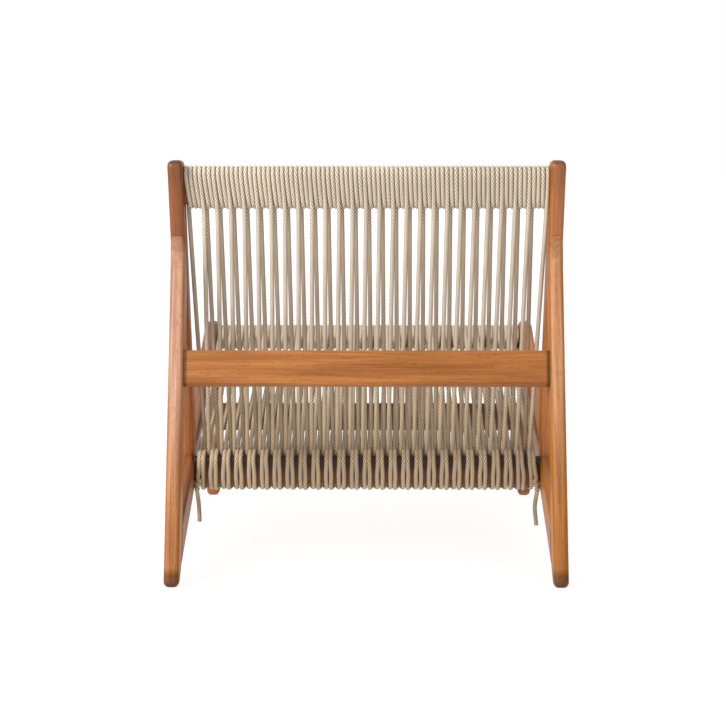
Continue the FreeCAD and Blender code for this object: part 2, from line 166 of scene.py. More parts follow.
# Every wood piece: its grain, its own tone, richness and hue against the chair's mean, and its shades
Finish = namedtuple("Finish", "grain tone richness shades hue joint under_seat",
                    defaults=((), 0.5, None, ()))
WOOD_PIECES = {
    "left_rear_leg": Finish(LEG_GRAIN, 1.22, 0.8, LEFT_LEG_SHADES, 0.5),
    "right_rear_leg": Finish(LEG_GRAIN, 1.2, 0.94, RIGHT_LEG_SHADES, 0.504),
    "left_back_post": Finish(POST_GRAIN, 0.7, 1.04, (HEAD_SHADE, POST_FOOT_SHADE), 0.493),
    "right_back_post": Finish(POST_GRAIN, 1.05, 1.02, (HEAD_SHADE,), 0.496),
    "left_seat_side_rail": Finish(SIDE_RAIL_GRAIN, 0.84, 1.04, (FOOT_SHADE, SIDE_RAIL_SHADE), 0.494),
    "right_seat_side_rail": Finish(SIDE_RAIL_GRAIN, 1.02, 1.04, (FOOT_SHADE,), 0.499),
    "left_front_leg": Finish(UPRIGHT_GRAIN, 0.9, 1.05, hue=0.494, under_seat=LEFT_LEG_UNDER_SEAT),
    "right_front_leg": Finish(UPRIGHT_GRAIN, 0.9, 1.05, hue=0.49, under_seat=RIGHT_LEG_UNDER_SEAT),
    "top_back_rail": Finish(CROSS_GRAIN, 0.6, 1.0),
    "mid_back_rail": Finish(CROSS_GRAIN, 0.88, 1.09, joint=MID_RAIL_PAINTED_SHADOW),
    # Painted shade: the lower rail's dark tone stands for the shade it sits in under the loops
    "lower_rail": Finish(CROSS_GRAIN, 0.5, 1.15, (UNDER_ROPE_SHADE,), 0.488),
    "front_seat_rail": Finish(CROSS_GRAIN, 0.6, 1.0),
    "front_stretcher": Finish(CROSS_GRAIN, 0.9, 1.05, under_seat=STRETCHER_UNDER_SEAT),
}
DOWELS = ["leg_post", "leg_rail", "post_rail", "front_leg", "top_rail", "mid_rail", "lower_rail",
          "front_rail", "stretcher"]

# Marks in the wood: how many times longer than wide they are, where they show, and how strongly
BAND_LENGTH_SHARE, STREAK_LENGTH_SHARE, PORE_LENGTH_SHARE = 22, 45, 14
STREAKS_IN_FIGURE = 0.45
FIGURE_STOPS = (0.32, 0.5, 0.68)
PORE_NOISE, PORE_STRENGTH = (0.60, 0.72), 0.55
SAWN_FACING, SAWN_STRENGTH = (0.55, 0.85), 0.75
WOOD_RELIEF = 0.2 * MM
LESS_ROUGH, MORE_ROUGH = 0.08, 0.1

# Metres from one piece's place in the noise to the next one's, so that no two have the same figure
SEED_SHIFT = (1.7, 0.9, 2.3)

# Flecks of the beech dowels
BEECH_FLECK = 3 * MM
BEECH_STOPS = ((0.35, "B98E62"), (0.65, "D6B086"))

# Make-up of the rope's yarn
CROWN_FLATNESS = 0.6
FIBRE_WIDTH, FIBRE_LIFT = 1.4 * MM, 0.35
YARN_STOPS = (0.18, 0.55, 1.0)
WEAR_WIDTH, WEAR_NOISE, WEAR_VALUES = 60 * MM, (0.3, 0.7), (0.92, 1.06)
YARN_RELIEF = 0.6 * MM

# Stage, in metres, with the camera's sensor in millimetres; the room dims between two headings to the right
FLOOR_REACH = 30.0
FLOOR_CLOUD = 2.0
FLOOR_ROUGHNESS = (0.85, 0.95)
DIMMING = (0.25, 0.8)
SOFT_BOX_SIZE = 0.7
SOFT_BOX_PLACE = (-1.7, -1.5, 1.75)
SOFT_BOX_AIM = (0, -0.1, 0.35)
SENSOR_WIDTH = 36.0

WHITE = (1, 1, 1, 1)
WHOLE_RANGE = (0.0, 1.0)


def linear(hex_colour):
    """An sRGB hex colour as linear red, green, blue and full alpha."""
    values = [int(hex_colour[place:place + 2], 16) / 255 for place in (0, 2, 4)]
    return tuple(v / 12.92 if v <= 0.04045 else ((v + 0.055) / 1.055) ** 2.4 for v in values) + (1.0,)


class HardwoodSettings(PropertyGroup):
    light: FloatVectorProperty(name="Light grain", description="Pale bands of the hardwood", subtype="COLOR",
                               size=4, min=0, max=1, default=linear("C0814D"))
    mean: FloatVectorProperty(name="Mean grain", description="Main colour of the hardwood", subtype="COLOR",
                              size=4, min=0, max=1, default=linear("A4693D"))
    dark: FloatVectorProperty(name="Dark grain", description="Dark bands of the hardwood", subtype="COLOR",
                              size=4, min=0, max=1, default=linear("87522A"))
    pore: FloatVectorProperty(name="Pores", description="Open pores filled with old oil", subtype="COLOR",
                              size=4, min=0, max=1, default=linear("5A2E16"))
    end_grain: FloatVectorProperty(name="End grain", description="Sawn ends, which drink more oil",
                                   subtype="COLOR", size=4, min=0, max=1, default=linear("5E3B2C"))
    band_width: FloatProperty(name="Band width", description="Width of a growth band across the grain",
                              subtype="DISTANCE", unit="LENGTH", default=14 * MM, min=MM)
    streak_width: FloatProperty(name="Streak width", description="Width of a fine streak across the grain",
                                subtype="DISTANCE", unit="LENGTH", default=2.6 * MM, min=0.1 * MM)
    pore_width: FloatProperty(name="Pore width", description="Width of a pore; real ones are about 0.3 mm",
                              subtype="DISTANCE", unit="LENGTH", default=0.9 * MM, min=0.1 * MM)
    roughness: FloatProperty(name="Roughness", description="Satin of the oil", subtype="FACTOR",
                             default=0.45, min=0, max=1)


class RopeSettings(PropertyGroup):
    crown: FloatVectorProperty(name="Crown", description="Top of each braided yarn", subtype="COLOR",
                               size=4, min=0, max=1, default=linear("E6D5BF"))
    body: FloatVectorProperty(name="Body", description="Main colour of the yarn", subtype="COLOR",
                              size=4, min=0, max=1, default=linear("BEAB93"))
    # The groove colour is painted shade in the gaps between the yarns
    groove: FloatVectorProperty(name="Groove", description="Gap between braided yarns", subtype="COLOR",
                                size=4, min=0, max=1, default=linear("544439"))
    diameter: FloatProperty(name="Diameter", description="Thickness of the rope", subtype="DISTANCE",
                            unit="LENGTH", default=7.15 * MM, min=3 * MM, max=9 * MM)
    stitch: FloatProperty(name="Stitch", description="Length of one braided stitch along the rope",
                          subtype="DISTANCE", unit="LENGTH", default=6.4 * MM, min=MM)
    yarns: FloatProperty(name="Yarns", description="Stitches round the rope", default=5, min=2, max=16)


class StageSettings(PropertyGroup):
    lens: FloatProperty(name="Lens", description="Focal length on a sensor 36 mm wide", default=99.17, min=10)
    place: FloatVectorProperty(name="Camera", description="Where the camera stands", subtype="TRANSLATION",
                               unit="LENGTH", default=(0.0171, -3.465, 0.703))
    turn: FloatVectorProperty(name="Camera turn", description="Camera's rotation", subtype="EULER",
                              unit="ROTATION", default=(math.radians(83.42), 0, math.radians(0.4125)))
    floor: FloatVectorProperty(name="Floor", description="Pale studio floor", subtype="COLOR", size=4,
                               min=0, max=1, default=linear("959595"))
    glow: FloatProperty(name="Floor glow", description="Light of the lit table that the chair stands on",
                        default=0.82, min=0)
    sky: FloatProperty(name="Room light", description="Strength of the white room", default=1.0, min=0)
    dim_side: FloatProperty(name="Dim side", description="Strength of the room on the chair's right",
                            default=0.35, min=0)
    key: FloatProperty(name="Key light", description="Power of the soft box", subtype="POWER", unit="POWER",
                       default=52.0, min=0)


def add_node(tree, kind, inputs=None, **settings):
    """Adds one node. An input is a plain value or the output that feeds it."""
    node = tree.nodes.new(kind)
    for name, value in settings.items():
        setattr(node, name, value)
    for name, value in (inputs or {}).items():
        if isinstance(value, bpy.types.NodeSocket):
            tree.links.new(value, node.inputs[name])
        else:
            node.inputs[name].default_value = value
    return node


def start_material(name):
    material = bpy.data.materials.new(name)
    material.use_nodes = True
    tree = material.node_tree
    tree.nodes.clear()
    return material, tree


def end_material(tree, shader):
    add_node(tree, "ShaderNodeOutputMaterial", {"Surface": shader.outputs["BSDF"]})


def set_stops(ramp, stops):
    """Gives a colour ramp its stops, as pairs of place and colour."""
    stops = list(stops)
    elements = ramp.color_ramp.elements
    while len(elements) < len(stops):
        elements.new(0.5)
    for element, (place, colour) in zip(elements, stops):
        element.position = place
        element.color = colour


def maths(tree, operation, *values, **settings):
    """Output of one step of arithmetic on values, each a plain number or an output."""
    inputs = dict(enumerate(values))
    return add_node(tree, "ShaderNodeMath", inputs, operation=operation, **settings).outputs[0]


def ranged(tree, value, source, result, **settings):
    """Output that runs over the result's two ends while the value runs over the source's."""
    return add_node(tree, "ShaderNodeMapRange",
                    {"Value": value, "From Min": source[0], "From Max": source[1],
                     "To Min": result[0], "To Max": result[1]}, **settings).outputs[0]


def parts_of(tree, vector):
    """Outputs X, Y and Z of a vector."""
    return add_node(tree, "ShaderNodeSeparateXYZ", {0: vector}).outputs


def mixed(tree, factor, first, second, kind="RGBA"):
    """Colour, or value of another kind, between two others."""
    return add_node(tree, "ShaderNodeMix", {"Factor": factor, "A": first, "B": second},
                    data_type=kind).outputs["Result"]


def even_noise(tree, place, width):
    """Noise of marks that are so wide in every direction."""
    return add_node(tree, "ShaderNodeTexNoise",
                    {"Vector": place, "Scale": 1 / width, "Detail": 2.0}).outputs["Fac"]


def grain_noise(tree, place, width, length_share, detail, distortion=0.0):
    """Noise of marks that are so wide across the grain and so many times longer along it."""
    scale = (1 / width, 1 / width, 1 / (width * length_share))
    drawn_out = add_node(tree, "ShaderNodeVectorMath", {0: place, 1: scale}, operation="MULTIPLY").outputs[0]
    return add_node(tree, "ShaderNodeTexNoise", {"Vector": drawn_out, "Scale": 1.0, "Detail": detail,
                                                 "Distortion": distortion}).outputs["Fac"]


def shaded(tree, measure, colour, shade):
    """Changes a colour's value and richness smoothly between two values of a measure, such as the height."""
    value, richness = (ranged(tree, measure, (shade.start, shade.end), (1.0, most),
                              interpolation_type="SMOOTHSTEP") for most in (shade.value, shade.richness))
    return add_node(tree, "ShaderNodeHueSaturation",
                    {"Color": colour, "Value": value, "Saturation": richness}).outputs[0]


def oiled_hardwood(name, settings, finish, seed):
    """Planed and oiled tropical hardwood.

    Long low-contrast bands and streaks run with the grain, short dark pores lie along it, and the sawn
    ends are darker because they take in more oil. The feet grow darker towards the floor, and painted
    light and shade follow the height and the way each face looks. The oil leaves a satin sheen.
    """
    material, tree = start_material(name)
    place = add_node(tree, "ShaderNodeTexCoord").outputs["Object"]
    turned = add_node(tree, "ShaderNodeMapping",
                      {"Vector": place, "Rotation": finish.grain,
                       "Location": tuple(seed * shift for shift in SEED_SHIFT)}).outputs[0]

    bands = grain_noise(tree, turned, settings.band_width, BAND_LENGTH_SHARE, detail=3.0, distortion=0.6)
    streaks = grain_noise(tree, turned, settings.streak_width, STREAK_LENGTH_SHARE, detail=2.0)
    # Real pores are too fine for the picture, so they are drawn three times as wide
    pore_noise = grain_noise(tree, turned, settings.pore_width, PORE_LENGTH_SHARE, detail=1.0)
    pores = ranged(tree, pore_noise, PORE_NOISE, (0.0, PORE_STRENGTH))
    figure = mixed(tree, STREAKS_IN_FIGURE, bands, streaks, "FLOAT")
    ramp = add_node(tree, "ShaderNodeValToRGB", {"Fac": figure})
    set_stops(ramp, zip(FIGURE_STOPS, (settings.dark, settings.mean, settings.light)))
    planed = mixed(tree, pores, ramp.outputs[0], tuple(settings.pore))

    grain_way = Euler(finish.grain).to_matrix().inverted() @ Vector((0, 0, 1))
    facing = add_node(tree, "ShaderNodeNewGeometry").outputs["Normal"]
    along = add_node(tree, "ShaderNodeVectorMath", {0: facing, 1: grain_way},
                     operation="DOT_PRODUCT").outputs["Value"]
    sawn = ranged(tree, maths(tree, "ABSOLUTE", along), SAWN_FACING, (0.0, SAWN_STRENGTH))
    colour = mixed(tree, sawn, planed, tuple(settings.end_grain))
    toned = add_node(tree, "ShaderNodeHueSaturation",
                     {"Color": colour, "Value": finish.tone, "Saturation": finish.richness,
                      "Hue": finish.hue}).outputs[0]

    # Painted shade: the planks' sides, which face left or right, are a little darker and richer
    ways, places = parts_of(tree, facing), parts_of(tree, place)
    toned = shaded(tree, maths(tree, "ABSOLUTE", ways["X"]), toned, SIDE_SHADE)
    # Shades by height, most of them painted light and shade
    for shade in finish.shades:
        toned = shaded(tree, places["Z"], toned, shade)
    if finish.joint:
        # Painted shadow that the legs cast on the rail where it meets them
        toned = shaded(tree, maths(tree, "ABSOLUTE", places["X"]), toned, finish.joint)
    if finish.under_seat:
        # Painted shade on faces turned away from the front, which are made dull and dark, more so higher up
        # under the seat
        level = maths(tree, "ABSOLUTE", ways["Z"])
        away = maths(tree, "SUBTRACT", level, ways["Y"], use_clamp=True)
        hidden = maths(tree, "MULTIPLY", away, places["Z"])
        for shade in finish.under_seat:
            toned = shaded(tree, hidden, toned, shade)

    relief = maths(tree, "SUBTRACT", streaks, pores)
    bump = add_node(tree, "ShaderNodeBump", {"Height": relief, "Strength": 0.25, "Distance": WOOD_RELIEF})
    satin = (settings.roughness - LESS_ROUGH, settings.roughness + MORE_ROUGH)
    sheen = ranged(tree, bands, WHOLE_RANGE, satin)
    shader = add_node(tree, "ShaderNodeBsdfPrincipled",
                      {"Base Color": toned, "Roughness": sheen, "Normal": bump.outputs[0],
                       "IOR": 1.5, "Specular IOR Level": 0.4})
    end_material(tree, shader)
    return material


def braided_rope(name, settings):
    """Outdoor rope of spun yarn, braided round a core.

    Yarns cross in small diamonds, each with a pale crown and a darker groove round it, whose dark is
    painted shade, and the matt fibres give a soft edge to the light. Painted shade also darkens the rope
    lower down, on its tails and on its flanks.
    """
    material, tree = start_material(name)
    coordinates = add_node(tree, "ShaderNodeTexCoord").outputs
    chart = parts_of(tree, coordinates["UV"])
    stitches = maths(tree, "MULTIPLY", chart["X"], math.pi / settings.stitch)
    lay = maths(tree, "MULTIPLY", chart["Y"], math.pi * settings.yarns)
    one_wave = maths(tree, "SINE", maths(tree, "ADD", stitches, lay))
    other_wave = maths(tree, "SINE", maths(tree, "SUBTRACT", stitches, lay))
    diamond = maths(tree, "ABSOLUTE", maths(tree, "MULTIPLY", one_wave, other_wave))
    crown = maths(tree, "POWER", diamond, CROWN_FLATNESS)

    place = coordinates["Object"]
    lift = maths(tree, "MULTIPLY_ADD", even_noise(tree, place, FIBRE_WIDTH), FIBRE_LIFT, crown)
    ramp = add_node(tree, "ShaderNodeValToRGB", {"Fac": lift})
    set_stops(ramp, zip(YARN_STOPS, (settings.groove, settings.body, settings.crown)))
    wear = ranged(tree, even_noise(tree, place, WEAR_WIDTH), WEAR_NOISE, WEAR_VALUES)
    yarn_colour = add_node(tree, "ShaderNodeHueSaturation", {"Color": ramp.outputs[0], "Value": wear}).outputs[0]
    height = parts_of(tree, place)["Z"]
    # Painted shade: the rope grows darker and warmer lower down, and darker still on the tails
    low_shaded_yarn = shaded(tree, height, yarn_colour, LOW_ROPE_PAINTED_SHADE)
    hanging = shaded(tree, height, low_shaded_yarn, TAIL_SHADE)
    # Painted shade on the rope's flanks, where neighbouring turns shade each other
    facing = add_node(tree, "ShaderNodeNewGeometry").outputs["Normal"]
    toned = shaded(tree, maths(tree, "ABSOLUTE", parts_of(tree, facing)["X"]), hanging, FLANK_SHADE)
    bump = add_node(tree, "ShaderNodeBump", {"Height": lift, "Strength": 0.6, "Distance": YARN_RELIEF})
    shader = add_node(tree, "ShaderNodeBsdfPrincipled",
                      {"Base Color": toned, "Roughness": 0.88, "Normal": bump.outputs[0],
                       "IOR": 1.5, "Specular IOR Level": 0.2, "Sheen Weight": 0.15, "Sheen Roughness": 0.5})
    end_material(tree, shader)
    return material


def plain_beech(name):
    """Turned beech dowel: pale, fine and even, with small flecks."""
    material, tree = start_material(name)
    place = add_node(tree, "ShaderNodeTexCoord").outputs["Object"]
    ramp = add_node(tree, "ShaderNodeValToRGB", {"Fac": even_noise(tree, place, BEECH_FLECK)})
    set_stops(ramp, ((stop, linear(colour)) for stop, colour in BEECH_STOPS))
    shader = add_node(tree, "ShaderNodeBsdfPrincipled",
                      {"Base Color": ramp.outputs[0], "Roughness": 0.6, "IOR": 1.5})
    end_material(tree, shader)
    return material


def dress(piece, material):
    piece.data.materials.clear()
    piece.data.materials.append(material)


# Directions of the back's and the seat's rails
BACK_WAY = Vector((0, -math.sin(BACK_LEAN), math.cos(BACK_LEAN)))
BACK_OUT = Vector((0, math.cos(BACK_LEAN), math.sin(BACK_LEAN)))
SEAT_WAY = Vector((0, math.cos(SEAT_SLOPE), math.sin(SEAT_SLOPE)))
SEAT_UP = Vector((0, -math.sin(SEAT_SLOPE), math.cos(SEAT_SLOPE)))


class Rail:
    """A cross rail that carries rope: its middle, the way of its board and the way it faces."""

    def __init__(self, node, way, out, reach):
        low, high = (Vector(corner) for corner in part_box(node))
        self.middle = (low + high) / 2
        self.half_length = (high.x - low.x) / 2
        self.way = way
        self.out = out
        self.reach = reach

    def at(self, out, up, x):
        place = self.middle + self.out * out + self.way * up
        return Vector((x, place.y, place.z))

    def round_end(self, end, outs, xs, drop=0.0, shares=EVEN_SHIFT):
        """Four control points that take the line round the upper (1) or lower (-1) end of the board.

        A drop starts the line that much further out than the layer it ends in. The shares say how much
        of the line's shift along the rail is done at the second and the third point.
        """
        reaches = (self.reach + drop, self.reach)
        middle = (outs[0] + outs[1]) / 2
        half = (outs[0] - outs[1]) / 2
        tuck = abs(half) * (1 - OCTAGON_SHARE)
        second, third = (xs[0] + (xs[1] - xs[0]) * share for share in shares)
        return [
            self.at(outs[0], end * (reaches[0] - tuck), xs[0]),
            self.at(middle + half * OCTAGON_SHARE, end * reaches[0], second),
            self.at(middle - half * OCTAGON_SHARE, end * reaches[1], third),
            self.at(outs[1], end * (reaches[1] - tuck), xs[1]),
        ]


class Weave:
    """Where the rope runs on the three rails, for a rope of one diameter."""

    def __init__(self, diameter):
        self.radius = diameter / 2
        self.seat = RAIL_THICKNESS / 2 + self.radius
        self.bend = self.seat * (1 - OCTAGON_SHARE)
        self.top = Rail("top_back_rail", BACK_WAY, BACK_OUT, TOP_RAIL_HEIGHT / 2 + self.radius)
        self.lower = Rail("lower_rail", BACK_WAY, BACK_OUT, LOWER_RAIL_HEIGHT / 2 + self.radius)
        self.front = Rail("front_seat_rail", SEAT_WAY, SEAT_UP, FRONT_RAIL_HEIGHT / 2 + self.radius)
        self.first_turn = -self.top.half_length + self.radius + ROPE_CLEARANCE
        span = -2 * self.first_turn
        self.extra_turns = END_LOOP_TURNS - TURNS_PER_LOOP
        self.top_turn = span / (BACK_LOOPS * TURNS_PER_LOOP + 2 * self.extra_turns - 1 + RIGHT_RUN_LEAN_SHARE)
        self.front_turn = span / (SEAT_LOOPS * TURNS_PER_LOOP - 1 + RIGHT_RUN_LEAN_SHARE)
        self.first_pair = -self.lower.half_length + LOOP_END_MARGIN
        self.pitch = -2 * self.first_pair / (SEAT_LOOPS - 1)
        play = random.Random(PLAY_SEED)
        self.play = [[play.uniform(-PAIR_PLAY, PAIR_PLAY) for _ in range(4)] for _ in range(SEAT_LOOPS)]

    def top_turns(self, index):
        return END_LOOP_TURNS if index in (0, BACK_LOOPS - 1) else TURNS_PER_LOOP

    def top_start(self, index):
        turns_before = TURNS_PER_LOOP * index + (self.extra_turns if index else 0)
        return self.first_turn + self.top_turn * turns_before

    def run_end(self, x, turn_width):
        """Where a run that starts at x ends on the rail's other edge: it leans most at the left."""
        way_right = (x - self.first_turn) / (-2 * self.first_turn)
        lean = LEFT_RUN_LEAN_SHARE + (RIGHT_RUN_LEAN_SHARE - LEFT_RUN_LEAN_SHARE) * way_right
        return x + lean * turn_width

    def rising_top(self, index):
        return self.top.at(self.seat, -self.top.reach, self.top_start(index))

    def falling_top(self, index):
        last = self.top_start(index) + self.top_turn * (self.top_turns(index) - 1)
        return self.top.at(-self.seat, -self.top.reach, self.run_end(last, self.top_turn))

    def strand_corner(self, index, out, drop, shift, far_end):
        """Lower corner of a back strand that passes its gap at the seat's level."""
        level = self.lower.at(out, self.lower.reach, self.first_pair + self.pitch * (index + 0.5) + shift)
        fall = 2 * self.lower.reach + drop
        lead = (level.x - far_end.x) * fall / (far_end - level).dot(BACK_WAY)
        return self.lower.at(out, self.lower.reach - fall, level.x + lead)

    def inner_corner(self, index):
        return self.strand_corner(index, self.seat, 0, REAR_STRAND_SHIFT, self.falling_top(index))

    def outer_corner(self, index):
        return self.strand_corner(index, self.seat + LAYER_STEP, LAYER_DROP, FRONT_STRAND_SHIFT,
                                  self.rising_top(index))

    def winding(self, rail, x, turns, turn_width):
        """Turns on a rail: up its face, over its end, down its other face and back under it."""
        points = []
        for turn in range(turns):
            start = x + turn_width * turn
            if turn > 0:
                crossing = self.run_end(start - turn_width, turn_width)
                points += rail.round_end(-1, (-self.seat, self.seat), (crossing, start))
            points += rail.round_end(1, (self.seat, -self.seat), (start, start))
        return points

    def back_loop(self, index):
        """Up the front of the back, over the top rail turn by turn and down its rear."""
        rise, fall = self.rising_top(index), self.falling_top(index)
        outer, inner = self.outer_corner(index), self.inner_corner(index)
        up = (rise - outer).normalized()
        down = (inner - fall).normalized()
        points = [outer + up * CUT_RISE, rise - up * RUN_END, rise]
        points += self.winding(self.top, rise.x, self.top_turns(index), self.top_turn)
        return points + [fall, fall + down * RUN_END, inner - down * RUN_END * 2, inner - down * CUT_RISE]

    def crest_lean(self, index):
        """How far a pair of loops leans towards the middle at its top, most of all at the ends."""
        from_left = max(0.0, 1 - index / LEFT_LEAN_PAIRS)
        from_right = max(0.0, 1 - (SEAT_LOOPS - 1 - index) / RIGHT_LEAN_PAIRS)
        return LEFT_LEAN * from_left - RIGHT_LEAN * from_right

    def rope_end(self, sign):
        """Where the rope enters its knot, on the rear of the lower rail."""
        out = RAIL_THICKNESS / 2 + KNOT_RADIUS + ROPE_CLEARANCE
        return self.lower.at(-out, -KNOT_LEVEL, sign * (-self.first_pair + PAIR_SPACING / 2))

    def seat_loop(self, index):
        """Round the lower rail, along the seat, three times round the front rail and back again."""
        play = self.play[index]
        pair = self.first_pair + self.pitch * index
        left, right = pair - PAIR_SPACING / 2 + play[0], pair + PAIR_SPACING / 2 + play[1]
        lower, reach, seat = self.lower, self.lower.reach, self.seat
        top = pair + self.crest_lean(index)
        crest_in = lower.at(-seat, reach, top - PAIR_TOP_SPACING / 2)
        crest_out = lower.at(-seat, reach, top + PAIR_TOP_SPACING / 2)
        x = self.first_turn + self.front_turn * TURNS_PER_LOOP * index
        front_in = self.front.at(seat, -self.front.reach, x)
        last = x + self.front_turn * (TURNS_PER_LOOP - 1)
        front_out = self.front.at(-seat, -self.front.reach, self.run_end(last, self.front_turn))
        going = (front_in - crest_in).normalized()
        coming = (crest_out - front_out).normalized()
        if index > 0:
            outer = self.outer_corner(index - 1)
            start = outer + (self.rising_top(index - 1) - outer).normalized() * CUT_RISE
            turn = lower.round_end(-1, (seat + LAYER_STEP, -seat), (outer.x, left), LAYER_DROP, EARLY_SHIFT)
            points = [start] + turn + [lower.at(-seat, 0, left - LOOP_BOW)]
        else:
            points = [self.rope_end(-1)]
        points += [lower.at(-seat, reach - self.bend, crest_in.x), crest_in + going * self.bend,
                   crest_in + going * RUN_END, front_in - going * RUN_END, front_in]
        points += self.winding(self.front, x, TURNS_PER_LOOP, self.front_turn)
        points += [front_out, front_out + coming * RUN_END, crest_out - coming * RUN_END,
                   crest_out - coming * self.bend, lower.at(-seat, reach - self.bend, crest_out.x)]
        if index < SEAT_LOOPS - 1:
            inner = self.inner_corner(index)
            points.append(lower.at(-seat, 0, right + LOOP_BOW))
            points += lower.round_end(-1, (-seat, seat), (right, inner.x), shares=LATE_SHIFT)
            points.append(inner + (self.falling_top(index) - inner).normalized() * CUT_RISE)
        else:
            points.append(self.rope_end(1))
        return points

    def knot_way(self, sign):
        top = self.lower.at(-self.seat, self.lower.reach, sign * (-self.first_pair + PAIR_TOP_SPACING / 2))
        return (self.rope_end(sign) - top).normalized()

    def tail_route(self, side, sign):
        low_end = self.rope_end(sign) + self.knot_way(sign) * (KNOT_LENGTH - TAIL_COVER)
        return [low_end + Vector(step) * MM for step in TAIL_STEPS[side]]

    def knot_route(self, sign):
        """An overhand knot drawn tight: the rope's end coiled close round itself."""
        way = self.knot_way(sign)
        across = way.cross(Vector((1, 0, 0))).normalized()
        beside = way.cross(across)
        start = self.rope_end(sign) - Vector((sign, 0, 0)) * KNOT_SHIFT
        rope_radius = self.radius * KNOT_ROPE_SHARE
        coil_radius = KNOT_RADIUS - rope_radius
        count = int(KNOT_TURNS * KNOT_POINTS_PER_TURN)
        points = [self.rope_end(sign) - way * self.radius]
        for step in range(count + 1):
            angle = 2 * math.pi * step / KNOT_POINTS_PER_TURN
            ring = across * math.cos(angle) + beside * math.sin(angle) * sign
            rise = rope_radius + (KNOT_LENGTH - 2 * rope_radius) * step / count
            points.append(start + way * rise + ring * coil_radius)
        points.append(self.rope_end(sign) + way * KNOT_LENGTH)
        return points


def smooth_line(points):
    """Points of the smooth line that has these control points."""
    curve = bpy.data.curves.new("line", "CURVE")
    curve.dimensions = "3D"
    curve.resolution_u = LINE_STEPS
    spline = curve.splines.new("NURBS")
    spline.points.add(len(points) - 1)
    for control, point in zip(spline.points, points):
        control.co = (*point, 1)
    spline.order_u = 3
    spline.use_endpoint_u = True
    holder = bpy.data.objects.new("line", curve)
    mesh = bpy.data.meshes.new_from_object(holder)
    line = [vertex.co.copy() for vertex in mesh.vertices]
    bpy.data.meshes.remove(mesh)
    bpy.data.objects.remove(holder)
    bpy.data.curves.remove(curve)
    return line


def rings_round(line, radius):
    """Points of the rings round a line, ring after ring, and how far along the line each ring is."""
    points, runs = [], []
    run, aside = 0.0, None
    for place, point in enumerate(line):
        before, after = line[max(place - 1, 0)], line[min(place + 1, len(line) - 1)]
        ahead = (after - before).normalized()
        if aside is None:
            aside = ahead.orthogonal()
        aside = (aside - ahead * aside.dot(ahead)).normalized()
        over = ahead.cross(aside)
        run += (point - line[place - 1]).length if place else 0.0
        runs.append(run)
        for corner in range(ROPE_SIDES):
            angle = 2 * math.pi * corner / ROPE_SIDES
            points.append(point + (aside * math.cos(angle) + over * math.sin(angle)) * radius)
    return points, runs


def rope_piece(name, lines, radius, material, capped):
    """One mesh of round rope along the lines, with its length and its round laid out as a chart."""
    vertices, faces, chart = [], [], []
    for line in lines:
        first = len(vertices)
        points, runs = rings_round(line, radius)
        vertices += points
        for ring in range(len(line) - 1):
            low, high = first + ring * ROPE_SIDES, first + (ring + 1) * ROPE_SIDES
            start, end = runs[ring], runs[ring + 1]
            for corner in range(ROPE_SIDES):
                following = (corner + 1) % ROPE_SIDES
                faces.append((low + corner, low + following, high + following, high + corner))
                near, far = corner / ROPE_SIDES, (corner + 1) / ROPE_SIDES
                chart += [(start, near), (start, far), (end, far), (end, near)]
        if capped:
            for ring, order in ((0, -1), (len(line) - 1, 1)):
                middle = len(vertices)
                vertices.append(line[ring])
                rim = first + ring * ROPE_SIDES
                for corner in range(ROPE_SIDES):
                    pair = (rim + corner, rim + (corner + 1) % ROPE_SIDES)[::order]
                    faces.append((*pair, middle))
                    chart += [(runs[ring], 0)] * 3
    mesh = bpy.data.meshes.new(name)
    mesh.from_pydata([tuple(vertex) for vertex in vertices], [], faces)
    mesh.polygons.foreach_set("use_smooth", [len(face) == 4 for face in faces])
    layer = mesh.uv_layers.new(name="Chart")
    layer.data.foreach_set("uv", [value for pair in chart for value in pair])
    mesh.update()
    piece = bpy.data.objects.new(name, mesh)
    bpy.context.scene.collection.objects.link(piece)
    dress(piece, material)
    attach(piece, "root")
    return piece


def rope_material(settings):
    return bpy.data.materials.get("braided_outdoor_rope") or braided_rope("braided_outdoor_rope", settings)


def lay_floor(scene, settings):
    """A wide pale floor that glows like a lit table."""
    material, tree = start_material("pale_studio_floor")
    place = add_node(tree, "ShaderNodeTexCoord").outputs["Object"]
    rough = ranged(tree, even_noise(tree, place, FLOOR_CLOUD), WHOLE_RANGE, FLOOR_ROUGHNESS)
    shader = add_node(tree, "ShaderNodeBsdfPrincipled",
                      {"Base Color": tuple(settings.floor), "Roughness": rough, "Specular IOR Level": 0.1,
                       "Emission Color": WHITE, "Emission Strength": settings.glow})
    end_material(tree, shader)
    corners = [(x * FLOOR_REACH, y * FLOOR_REACH, 0) for x, y in ((-1, -1), (1, -1), (1, 1), (-1, 1))]
    mesh = bpy.data.meshes.new("studio_floor")
    mesh.from_pydata(corners, [], [(0, 1, 2, 3)])
    floor = bpy.data.objects.new("studio_floor", mesh)
    scene.collection.objects.link(floor)
    dress(floor, material)
    return floor


def light_room(scene, settings):
    """A white room that is darker on the chair's right, so that its forms have a shaded side."""
    world = bpy.data.worlds.new("white_room")
    world.use_nodes = True
    tree = world.node_tree
    heading = parts_of(tree, add_node(tree, "ShaderNodeTexCoord").outputs["Generated"])
    strength = ranged(tree, heading["X"], DIMMING, (settings.sky, settings.dim_side),
                      interpolation_type="SMOOTHSTEP")
    background = tree.nodes["Background"]
    background.inputs["Color"].default_value = WHITE
    tree.links.new(strength, background.inputs["Strength"])
    scene.world = world


